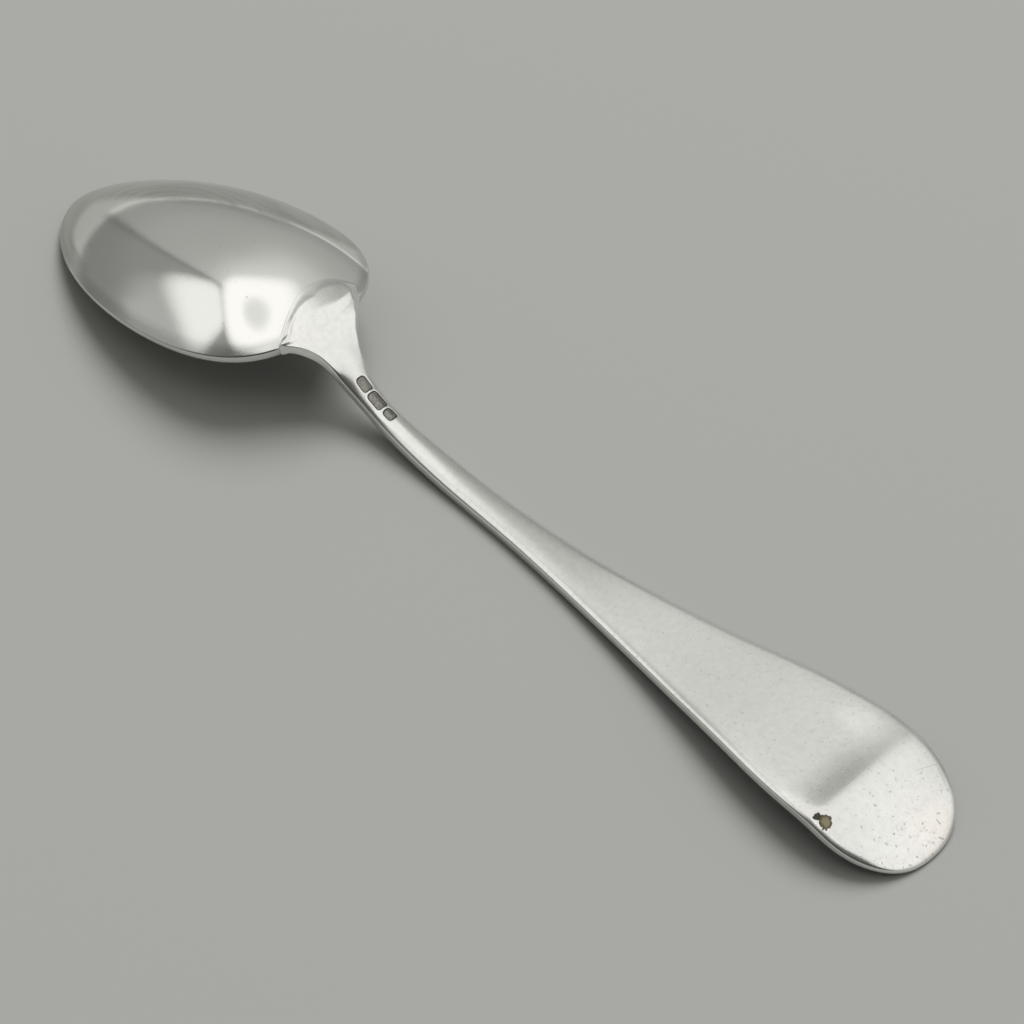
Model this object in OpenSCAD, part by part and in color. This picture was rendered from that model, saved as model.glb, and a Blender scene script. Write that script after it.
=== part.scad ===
// Teaspoon lying face down, as on a counter: the bowl's back and the handle's back are uppermost.
// X runs along the spoon from the bowl's tip to the handle's end, Z is up, and Z = 0 is the counter.
// The bowl is a dished shell. The handle is one bar with a rounded tongue, the drop, at its heel,
// which laps the bowl's back, while its shoulder butts against the bowl's rear rim.

/* [Bowl] */
// Length of the bowl, from its tip to its rear rim
bowl_length = 44.3; // [38:0.1:60]
// Width of the bowl at its widest place
bowl_width = 28.8; // [22:0.2:38]
// Rise of the bowl's back above its rim
bowl_depth = 6.8; // [4:0.1:10]
// Thickness of the bowl's metal under its crown
bowl_wall = 0.9; // [0.6:0.05:1.6]
// Width of the flat land round the rim
rim_land = 0.8; // [0.5:0.05:1.4]
// Height of the rim's outer edge at the bowl's tip
rim_edge_tip = 0.35; // [0.2:0.05:0.8]
// Height of the rim's outer edge at the heel
rim_edge_heel = 1.2; // [0.8:0.05:2]

/* [Handle] */
// Length of the handle, from the bowl's rear rim to the end
handle_length = 93.7; // [75:0.1:120]
// Width of the stem at its narrowest place
stem_width = 3.1; // [2.4:0.1:5]
// Width of the rounded end at its widest place
end_width = 17.6; // [12:0.1:24]
// Length of the rounded end, beyond its widest place
end_round = 10; // [6:0.2:12]
// Height of the sides in the neck, just behind the bowl
neck_side = 1.2; // [0.8:0.05:2]
// Height of the stem's sides
stem_side = 1.55; // [1:0.05:3]
// Height of the sides just before the rounded end
blade_side = 1.1; // [0.8:0.05:2]
// Height of the edge at the very end
end_side = 0.65; // [0.5:0.05:1.2]
// Crown of the stem's back above its sides
stem_crown = 0.45; // [0.2:0.05:1]
// Crown of the broad part's back above its sides
blade_crown = 0.6; // [0.2:0.05:1]
// Rounding of the stem's upper edges
stem_round = 0.5; // [0.2:0.05:0.8]
// Rounding of the broad part's upper edges
blade_round = 0.15; // [0.1:0.05:0.8]
// Rounding of the long edges underneath
edge_round = 0.25; // [0.1:0.05:0.4]

/* [Drop] */
// Length of the drop over the bowl's back
drop_length = 3.8; // [3:0.2:8]
// Width of the drop where it meets the rim
drop_width = 13.2; // [9:0.2:16]
// Thickness of the drop at its edge
drop_step = 0.2; // [0.2:0.05:0.8]
// Crown of the back at the heel
heel_crown = 0.7; // [0.3:0.05:1.2]
// Distance in which the heel narrows to the stem
heel_flare = 9.7; // [8:0.1:16]
// Room for solder between the handle and the bowl
solder_gap = 0.08; // [0.06:0.01:0.2]

/* [Stance] */
// Height of the rim's underside at the heel
heel_height = 8.6; // [5:0.2:12]
// Height of the handle's underside where it arches before its end
arch_height = 3.2; // [2:0.1:6]
// Depth of the flats on which the tip and the end rest
rest_flat = 0.15; // [0.1:0.05:0.3]

/* [Hidden] */

// Overall length, and the shift that puts the middle of the spoon at X = 0
spoon_length = bowl_length + handle_length;
shift = spoon_length / 2;

// Facet counts
bowl_sides = 72;
back_rings = 12;
hollow_rings = 10;
section_steps = 16;
drop_stations = 9;
flare_stations = 18;
blade_stations = 30;
round_stations = 10;

// Place of the widest line along the bowl, and how far the rim's line bows
widest_share = 0.61;
rim_bow_share = 0.25;
// Powers of the outline's curves and of the dished section
tip_power = 1.77;
heel_power = 2.47;
dish_power = 2.3;
end_power = 2.25;
drop_power = 1.15;
// Powers of the back's crown across the stem and across the broad part, and of the edge rounding
stem_crown_power = 2;
blade_crown_power = 10;
edge_power = 6;

// Heel: share of the flare's length, share of the width still to lose
flare_shares = [
    [0, 1], [0.1, 0.77], [0.19, 0.557], [0.28, 0.355],
    [0.37, 0.227], [0.55, 0.09], [0.78, 0.018], [1, 0]
];
// Handle: share of the way from the flare's end to the widest place, share of the width gained
spread_shares = [
    [0, 0], [0.08, 0.031], [0.216, 0.067], [0.35, 0.129], [0.486, 0.271],
    [0.62, 0.468], [0.757, 0.712], [0.892, 0.94], [1, 1]
];
// Underside from the heel to its low place: share of the way, share of the heel's height
dip_shares = [
    [0, 1], [0.055, 0.857], [0.12, 0.642], [0.185, 0.452], [0.25, 0.326],
    [0.38, 0.168], [0.575, 0.063], [0.75, 0.015], [1, 0]
];
// Underside from the low place to the end: share of the way, share of the arch's height
arch_shares = [
    [0, 0], [0.16, 0.064], [0.32, 0.244], [0.475, 0.5], [0.635, 0.856],
    [0.72, 0.955], [0.8, 0.996], [0.845, 0.905], [0.905, 0.62], [1, 0]
];
// Heel, as shares of the flare's length: where its sections stop following the rim's curve, where its
// heights leave the rim's, where its edges are free of the drop, and where its sides are thin and full
bow_share = 0.46;
level_share = 0.155;
free_share = 0.26;
thin_share = 0.2;
full_share = 0.62;
// Rounding of the upper edges in the neck and at the very end, as shares of the stem's and the broad part's
neck_round_share = 0.4;
end_round_share = 1;
// Place where the broad part begins, as a share of the way from the low place to the rounded end
blade_share = 0.4;
// Low place of the handle's underside, as a share of the handle's length
low_share = 0.33;
// Crown of the drop at its front, as a share of the heel's crown
front_crown_share = 0.05;
// Turns, in degrees, left flat at the poles of the drop's front and of the rounded end
drop_pole_turn = 14;
end_pole_turn = 5;
// Power that gathers the stations of the flare towards the heel
gather_power = 1.3;
// Power of the rim edge's growth towards the heel
edge_growth_power = 3;
// Widths of the solder's room between the butting rim and the heel's first section
butt_gaps = 3;

// Smooth curve through a table of [place, value], with each slope taken from its neighbours
function seat(t, u) = max([0, for (k = [1 : len(t) - 2]) if (u >= t[k][0]) k]);
function slope(t, i) =
    let (a = max(i - 1, 0))
    let (b = min(i + 1, len(t) - 1))
    (t[b][1] - t[a][1]) / (t[b][0] - t[a][0]);
function smooth(t, u) =
    let (i = seat(t, u))
    let (h = t[i + 1][0] - t[i][0])
    let (q = (u - t[i][0]) / h)
    t[i][1] * (1 + 2 * q) * (1 - q) * (1 - q)
    + t[i + 1][1] * q * q * (3 - 2 * q)
    + h * q * (1 - q) * (slope(t, i) * (1 - q) - slope(t, i + 1) * q);
function blend(a, b, q) = a + (b - a) * q;
function ease(q) = let (c = min(max(q, 0), 1)) c * c * (3 - 2 * c);

// Places along the spoon, measured from the bowl's tip
widest_at = bowl_length * widest_share;
drop_front = bowl_length - drop_length;
flare_end = bowl_length + heel_flare;
low_at = bowl_length + handle_length * low_share;
round_at = spoon_length - end_round;
blade_at = blend(low_at, round_at, blade_share);

// Bowl: half width, and the underside and outer edge of its rim
bowl_half = bowl_width / 2;
rear_reach = bowl_length - widest_at;
function rim_line(s) =
    let (u = min(max(s / bowl_length, 0), 1))
    (heel_height + rest_flat) * u * (1 + rim_bow_share * (1 - u)) - rest_flat;
function rim_edge(s) =
    let (u = min(max(s / bowl_length, 0), 1))
    blend(rim_edge_tip, rim_edge_heel, pow(u, edge_growth_power));

// Point on the bowl's outline, drawn in by inset, at a turn counted from the heel
function outline_point(turn, inset) =
    let (c = cos(turn))
    let (n = abs(sin(turn)))
    let (side = sin(turn) < 0 ? -1 : 1)
    c < 0
        ? [(widest_at - inset) * c, side * (bowl_half - inset) * pow(n, 2 / tip_power)]
        : [
            (rear_reach - inset) * pow(c, 2 / heel_power),
            side * (bowl_half - inset) * pow(n, 2 / heel_power)
        ];
// Rear rim, and the bowl's back behind its widest line, for what is seated on them
function rear_rim(y) =
    widest_at + rear_reach * pow(1 - pow(abs(y) / bowl_half, heel_power), 1 / heel_power);
function dish(r) = 1 - pow(r, dish_power);
function bowl_back(s, y) =
    let (x = pow(max(s - widest_at, 0) / rear_reach, heel_power))
    let (r = min(pow(x + pow(abs(y) / bowl_half, heel_power), 1 / heel_power), 1))
    rim_line(s) + rim_edge(s) + bowl_depth * dish(r);

// Rings of the bowl from the crown of its back, over the edge and the land, to the crown of its hollow
function back_ring(r) = [
    for (k = [0 : bowl_sides - 1])
        let (p = outline_point(360 * k / bowl_sides, 0) * r)
        let (s = widest_at + p[0])
        [s - shift, p[1], rim_line(s) + rim_edge(s) + bowl_depth * dish(r)]
];
function land_ring() = [
    for (k = [0 : bowl_sides - 1])
        let (p = outline_point(360 * k / bowl_sides, 0))
        let (s = widest_at + p[0])
        [s - shift, p[1], max(rim_line(s), 0)]
];
function hollow_ring(r) = [
    for (k = [0 : bowl_sides - 1])
        let (p = outline_point(360 * k / bowl_sides, rim_land) * r)
        let (s = widest_at + p[0])
        [s - shift, p[1], max(rim_line(s), 0) + (bowl_depth + rim_edge(s) - bowl_wall) * dish(r)]
];

// Handle: half width where its edges are at a place behind the drop
stem_half = stem_width / 2;
end_half = end_width / 2;
drop_half = drop_width / 2;
shoulder_at = rear_rim(drop_half);
function handle_half(e) =
    e < flare_end
        ? blend(stem_half, drop_half, smooth(flare_shares, (e - shoulder_at) / (flare_end - shoulder_at)))
        : blend(stem_half, end_half, smooth(spread_shares, (e - flare_end) / (round_at - flare_end)));
// Middle of the section with edges at that place: in the heel it runs ahead of them by the rim's curve
shoulder_lag = bowl_length - shoulder_at;
function middle(e) = e + shoulder_lag * (1 - ease((e - shoulder_at) / (heel_flare * bow_share)));
function rim_curve(q) = (bowl_length - rear_rim(q * drop_half)) / shoulder_lag;
function rim_fall(y) =
    let (s = rear_rim(y))
    rim_line(s) + rim_edge(s) - rim_line(bowl_length) - rim_edge(bowl_length);
// Underside, side height, crown and upper edge rounding along the handle
function under_line(s) =
    s < low_at
        ? heel_height * smooth(dip_shares, max(s - bowl_length, 0) / (low_at - bowl_length))
        : (arch_height + rest_flat) * smooth(arch_shares, (s - low_at) / (spoon_length - low_at))
          - rest_flat * ease((s - low_at) / (spoon_length - low_at));
heel_side = rim_edge_heel + solder_gap + drop_step;
function side_height(s) =
    let (behind = (s - bowl_length) / heel_flare)
    let (neck = blend(heel_side, neck_side, ease(behind / thin_share)))
    let (stem = blend(neck, stem_side, ease((behind - thin_share) / (full_share - thin_share))))
    let (blade = blend(stem, blade_side, ease((s - low_at) / (blade_at - low_at))))
    blend(blade, end_side, ease((s - round_at) / end_round));
function crown_height(s) =
    s < flare_end
        ? blend(heel_crown, stem_crown, ease((s - bowl_length) / heel_flare))
        : blend(stem_crown, blade_crown, ease((s - flare_end) / (blade_at - flare_end)));
function crown_power(s) =
    blend(stem_crown_power, blade_crown_power, ease((s - flare_end) / (blade_at - flare_end)));
function upper_round(s) =
    let (stem = stem_round * blend(neck_round_share, 1, ease((s - bowl_length) / heel_flare)))
    let (blade = blend(stem, blade_round, ease((s - flare_end) / (blade_at - flare_end))))
    blend(blade, blade_round * end_round_share, ease((s - round_at) / end_round));
// Fall of a rounded edge of a given radius at an inset from it
function edge_fall(radius, inset) =
    let (u = 1 - min(inset / radius, 1))
    radius * (1 - sqrt(1 - u * u));

// Fine steps near the edges of a section: place across it from -1 to 1
function across(k) = -cos(180 * k / section_steps);
// Section of the drop: its underside keeps the solder's room over the bowl's back
function drop_section(s, half) = let (bow = ease((s - drop_front) / drop_length)) [
    for (k = [0 : section_steps])
        let (y = across(k) * half)
        let (p = s + bow * (rear_rim(y) - bowl_length))
        let (q = (s - drop_front) / drop_length)
        let (c = heel_crown * blend(front_crown_share, 1, q) * (1 - pow(abs(across(k)), stem_crown_power)))
        [p - shift, y, bowl_back(p, y) + solder_gap + drop_step + c],
    for (k = [section_steps : -1 : 0])
        let (y = across(k) * half)
        let (p = s + bow * (rear_rim(y) - bowl_length))
        [p - shift, y, bowl_back(p, y) + solder_gap]
];
// Section of the heel, the stem and the broad part
function bar_section(e, half) =
    let (m = middle(e))
    let (level = ease((m - bowl_length) / (heel_flare * level_share)))
    let (free = ease((m - bowl_length) / (heel_flare * free_share)))
    [
        for (k = [0 : section_steps])
            let (q = abs(across(k)))
            let (p = m - (m - e) * rim_curve(q))
            let (s = blend(m, p, level))
            let (c = crown_height(s) * (1 - pow(q, crown_power(s))))
            let (fall = free * edge_fall(upper_round(s), (1 - q) * half))
            let (z = under_line(s) + side_height(s) + c - fall + (1 - free) * rim_fall(q * half))
            [p - shift, across(k) * half, z],
        for (k = [section_steps : -1 : 0])
            let (q = abs(across(k)))
            let (p = m - (m - e) * rim_curve(q))
            let (s = blend(m, p, level))
            [p - shift, across(k) * half, max(under_line(s), 0) + edge_round * pow(q, edge_power)]
    ];

// Faces between rings of equal length, with the first and the last ring closed by a cap
function between(rings, n) = [
    for (i = [0 : rings - 2])
        for (k = [0 : n - 1])
            let (a = i * n + k)
            let (b = i * n + (k + 1) % n)
            each [[a, b, b + n], [a, b + n, a + n]]
];
function cap(start, n) = [for (k = [0 : n - 1]) start + k];
function flip(faces) = [for (f = faces) [for (k = [len(f) - 1 : -1 : 0]) f[k]]];

module bowl() {
    crown_back = [widest_at - shift, 0, rim_line(widest_at) + rim_edge(widest_at) + bowl_depth];
    crown_hollow = crown_back - [0, 0, bowl_wall];
    rings = [
        for (i = [1 : back_rings]) back_ring(i / back_rings),
        land_ring(),
        for (i = [hollow_rings : -1 : 1]) hollow_ring(i / hollow_rings)
    ];
    n = bowl_sides;
    count = len(rings);
    points = concat([for (ring = rings) each ring], [crown_back, crown_hollow]);
    last = (count - 1) * n;
    back_fan = [for (k = [0 : n - 1]) [count * n, (k + 1) % n, k]];
    hollow_fan = [for (k = [0 : n - 1]) [count * n + 1, last + k, last + (k + 1) % n]];
    color("gainsboro")
        polyhedron(points = points, faces = concat(between(count, n), back_fan, hollow_fan));
}

module handle() {
    drop_turns = [for (i = [0 : drop_stations]) blend(drop_pole_turn, 90, i / drop_stations)];
    butt_at = bowl_length + solder_gap;
    heel_at = shoulder_at + butt_gaps * solder_gap;
    flare_places = [
        for (i = [0 : flare_stations])
            blend(heel_at, flare_end, pow(i / flare_stations, gather_power))
    ];
    blade_places = [for (i = [1 : blade_stations]) blend(flare_end, round_at, i / blade_stations)];
    last_turn = 90 - end_pole_turn;
    round_turns = [for (i = [1 : round_stations]) blend(0, last_turn, i / round_stations)];
    sections = [
        for (turn = drop_turns)
            drop_section(butt_at - drop_length * cos(turn), drop_half * pow(sin(turn), drop_power)),
        for (e = flare_places) bar_section(e, handle_half(e)),
        for (e = blade_places) bar_section(e, handle_half(e)),
        for (turn = round_turns)
            bar_section(
                round_at + end_round * pow(sin(turn) / sin(last_turn), 2 / end_power),
                end_half * pow(cos(turn), 2 / end_power)
            )
    ];
    n = 2 * (section_steps + 1);
    count = len(sections);
    points = [for (section = sections) each section];
    faces = concat(between(count, n), flip([cap(0, n)]), [cap((count - 1) * n, n)]);
    color("silver")
        polyhedron(points = points, faces = faces);
}

bowl();
handle();
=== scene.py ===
import math
from types import SimpleNamespace

import bmesh
import bpy
import numpy as np
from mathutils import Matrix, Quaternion, Vector


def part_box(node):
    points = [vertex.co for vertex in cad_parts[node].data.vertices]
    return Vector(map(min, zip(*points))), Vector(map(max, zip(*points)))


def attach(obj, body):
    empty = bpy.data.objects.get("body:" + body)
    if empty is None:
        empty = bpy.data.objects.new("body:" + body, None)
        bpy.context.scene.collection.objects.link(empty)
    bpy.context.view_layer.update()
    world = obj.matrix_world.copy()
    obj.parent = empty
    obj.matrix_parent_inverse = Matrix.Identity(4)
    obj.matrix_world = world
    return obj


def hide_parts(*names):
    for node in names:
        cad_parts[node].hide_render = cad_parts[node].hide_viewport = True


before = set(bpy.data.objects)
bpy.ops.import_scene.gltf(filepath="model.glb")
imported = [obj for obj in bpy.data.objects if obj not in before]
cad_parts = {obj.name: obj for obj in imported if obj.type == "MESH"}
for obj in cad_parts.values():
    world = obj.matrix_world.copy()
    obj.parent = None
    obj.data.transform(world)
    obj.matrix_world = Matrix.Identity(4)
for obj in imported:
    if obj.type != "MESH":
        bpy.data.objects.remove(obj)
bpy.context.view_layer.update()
mm = 0.001
micrometre = 1e-6
fullTurn = 2 * math.pi
quarterTurn = math.pi / 2

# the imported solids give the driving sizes, in millimetres along the spoon from the bowl's tip
bowlLow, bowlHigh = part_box("bowl")
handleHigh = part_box("handle")[1]
tipX = bowlLow.x / mm
bowlLength = (bowlHigh.x - bowlLow.x) / mm
bowlWidth = (bowlHigh.y - bowlLow.y) / mm
spoonLength = (handleHigh.x - bowlLow.x) / mm
print("frame loaded:", round(spoonLength, 1), "mm long, bowl", round(bowlWidth, 1), "mm wide")


# small curve helpers
def ease(q):
    c = np.clip(q, 0, 1)
    return c * c * (3 - 2 * c)


def mixed(a, b, q):
    return a + (b - a) * q


def splineThrough(table, at):
    # natural cubic spline through a short table of (place, value)
    x, y = np.array(table, float).T
    h = np.diff(x)
    n = len(x)
    rows = np.eye(n)
    pull = np.zeros(n)
    for i in range(1, n - 1):
        rows[i, i - 1:i + 2] = h[i - 1], 2 * (h[i - 1] + h[i]), h[i]
        pull[i] = 6 * ((y[i + 1] - y[i]) / h[i] - (y[i] - y[i - 1]) / h[i - 1])
    curving = np.linalg.solve(rows, pull)
    k = np.clip(np.searchsorted(x, at) - 1, 0, n - 2)
    left, right = x[k + 1] - at, at - x[k]
    cubic = (curving[k] * left ** 3 + curving[k + 1] * right ** 3) / (6 * h[k])
    fromLeft = (y[k] / h[k] - curving[k] * h[k] / 6) * left
    fromRight = (y[k + 1] / h[k] - curving[k + 1] * h[k] / 6) * right
    return cubic + fromLeft + fromRight


def softened(values, reach):
    # evens out a sampled curve with a bell-shaped weight, reach in samples
    tail = 3 * reach
    offsets = np.arange(-tail, tail + 1)
    weight = np.exp(-0.5 * (offsets / reach) ** 2)
    padded = np.pad(values, tail, mode="reflect", reflect_type="odd")
    return np.convolve(padded, weight / weight.sum(), mode="valid")


def addObject(name, data):
    thing = bpy.data.objects.new(name, data)
    bpy.context.scene.collection.objects.link(thing)
    return thing


def meshPiece(name, points, faces):
    mesh = bpy.data.meshes.new(name)
    mesh.from_pydata((np.asarray(points) * mm).tolist(), [], [[int(i) for i in face] for face in faces])
    built = bmesh.new()
    built.from_mesh(mesh)
    bmesh.ops.remove_doubles(built, verts=built.verts, dist=micrometre)
    bmesh.ops.recalc_face_normals(built, faces=built.faces)
    if built.calc_volume(signed=True) < 0:  # a thin shell can come out facing inwards
        bmesh.ops.reverse_faces(built, faces=built.faces)
    for face in built.faces:
        face.smooth = True
    built.to_mesh(mesh)
    built.free()
    return addObject(name, mesh)


def gridFaces(index, closed=False):
    # quads between neighbouring rows of an index table
    nextColumn = np.roll(index, -1, axis=1)
    quads = np.stack([index[:-1], nextColumn[:-1], nextColumn[1:], index[1:]], axis=-1)
    if not closed:
        quads = quads[:, :-1]
    return quads.reshape(-1, 4).tolist()


# bowl: a dished shell with an egg-shaped rim, sizes in mm
bowl = {
    "depth": 6.75,  # rise of the back above the rim
    "dishPower": 2.3,
    "wall": 0.9,
    "land": 0.8,  # flat width under the rim
    "edgeTip": 0.35,  # height of the rim's edge at the tip and at the heel
    "edgeHeel": 1.2,
    "edgeGrowth": 3,
    "edgeRound": 0.3,  # share of the edge taken by each rounded corner
    "heelHeight": 8.6,  # rim above the floor at the heel
    "restFlat": 0.15,  # how far the tip would dip into the floor, which flattens it
    "rimBow": 0.25,
    "tipShares": (0.03, -0.067),  # how the outline gathers at its two ends
    "fullShares": (0.29, -0.15, 0.12),  # how full it is towards the heel
    "outlineSteps": 4096,
    "sides": 288,
    "backRings": 84,
    "hollowRings": 60,
    "ringCrowding": 0.8,  # below 1 the rings gather towards the rim
    "cornerRings": 7,
    "lipRings": 5,
    "lipShare": 0.5,  # share of the outer hollow ring taken by the lip
    "cornerLimit": 0.9,  # most of the outer back ring that the edge's rounding takes
    "leastGauge": 0.01,
}


def eggOutline(turn):
    c, n = np.cos(turn), np.sin(turn)
    second, third = bowl["tipShares"]
    along = 1 + c + second * (np.cos(2 * turn) - 1) + third * (np.cos(3 * turn) - c)
    a, b, d = bowl["fullShares"]
    across = n * (1 + a * c + b * c ** 2 + d * c ** 3)
    return bowlLength / 2 * along, across


eggTurns = np.linspace(0, fullTurn, bowl["outlineSteps"] + 1)
eggS, eggAcross = eggOutline(eggTurns)
eggScale = bowlWidth / 2 / eggAcross.max()
eggY = eggAcross * eggScale
widest = int(np.argmax(eggY))
eggMid = eggS[widest]
eggAngles = np.unwrap(np.arctan2(eggY, eggS - eggMid))
eggReach = np.hypot(eggY, eggS - eggMid)


def eggGauge(s, y):
    # 0 in the middle of the bowl, 1 on its rim
    angle = np.arctan2(y, s - eggMid) % fullTurn
    return np.hypot(y, s - eggMid) / np.interp(angle, eggAngles, eggReach)


def rearRim(y):
    return np.interp(np.abs(y), eggY[:widest + 1], eggS[:widest + 1])


def rimLine(s):
    u = np.clip(s / bowlLength, 0, 1)
    rise = bowl["heelHeight"] + bowl["restFlat"]
    return rise * u * (1 + bowl["rimBow"] * (1 - u)) - bowl["restFlat"]


def rimEdge(s):
    u = np.clip(s / bowlLength, 0, 1)
    return mixed(bowl["edgeTip"], bowl["edgeHeel"], u ** bowl["edgeGrowth"])


def backHeight(s, gauge):
    return rimLine(s) + rimEdge(s) + bowl["depth"] * (1 - gauge ** bowl["dishPower"])


def bowlBack(s, y):
    return backHeight(s, np.minimum(eggGauge(s, y), 1))


def roundedCorner(before, corner, after, steps):
    # bends a sharp corner of each profile into a short smooth curve
    curve = []
    for q in np.linspace(0, 1, steps):
        curve.append(mixed(mixed(before, corner, q), mixed(corner, after, q), q))
    return curve


def bowlRings():
    turns = np.linspace(0, fullTurn, bowl["sides"], endpoint=False)
    outS, outY = eggOutline(turns)
    outS, outY = outS - eggMid, outY * eggScale
    length = np.hypot(outS, outY)

    def spaced(count):
        return np.linspace(0, 1, count + 1)[1:-1] ** bowl["ringCrowding"]

    def backRing(r):
        s = eggMid + outS * r
        return np.stack([s, outY * r, backHeight(s, r)], axis=1)

    def hollowRing(r):
        inner = r * (1 - bowl["land"] / length)
        s = eggMid + outS * inner
        rise = bowl["depth"] + rimEdge(s) - bowl["wall"]
        z = np.maximum(rimLine(s), 0) + rise * (1 - r ** bowl["dishPower"])
        return np.stack([s, outY * inner, z], axis=1)

    top = backRing(1.0)
    low = top.copy()
    low[:, 2] = np.maximum(rimLine(low[:, 0]), 0)
    landInner = hollowRing(1.0)
    back = [backRing(r) for r in spaced(bowl["backRings"])]
    hollow = [hollowRing(r) for r in spaced(bowl["hollowRings"])]

    # the edge's two corners and the inner one of the land are rounded
    taken = bowl["edgeRound"] * rimEdge(top[:, 0])
    toBack = back[-1] - top
    pull = np.minimum(taken / np.linalg.norm(toBack, axis=1), bowl["cornerLimit"])[:, None]
    down = np.zeros_like(top)
    down[:, 2] = -taken
    inward = (landInner - low) * (taken / bowl["land"])[:, None]
    lip = (hollow[-1] - landInner) * bowl["lipShare"]
    corners = roundedCorner(top + toBack * pull, top, top + down, bowl["cornerRings"])
    corners += roundedCorner(low - down, low, low + inward, bowl["cornerRings"])
    corners += roundedCorner(landInner - inward, landInner, landInner + lip, bowl["lipRings"])
    return back + corners + hollow[::-1]


def makeBowl():
    rings = bowlRings()
    sides = bowl["sides"]
    points = np.concatenate(rings)
    crown = float(backHeight(eggMid, 0))
    poles = np.array([[eggMid, 0, crown], [eggMid, 0, crown - bowl["wall"]]])
    index = np.arange(len(points)).reshape(len(rings), sides)
    faces = gridFaces(index, closed=True)
    back, under = len(points), len(points) + 1
    for k in range(sides):
        after = (k + 1) % sides
        faces.append([back, index[0, after], index[0, k]])
        faces.append([under, index[-1, k], index[-1, after]])
    points = np.concatenate([points, poles])
    points[:, 0] += tipX
    return meshPiece("bowl_shell", points, faces)


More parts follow.
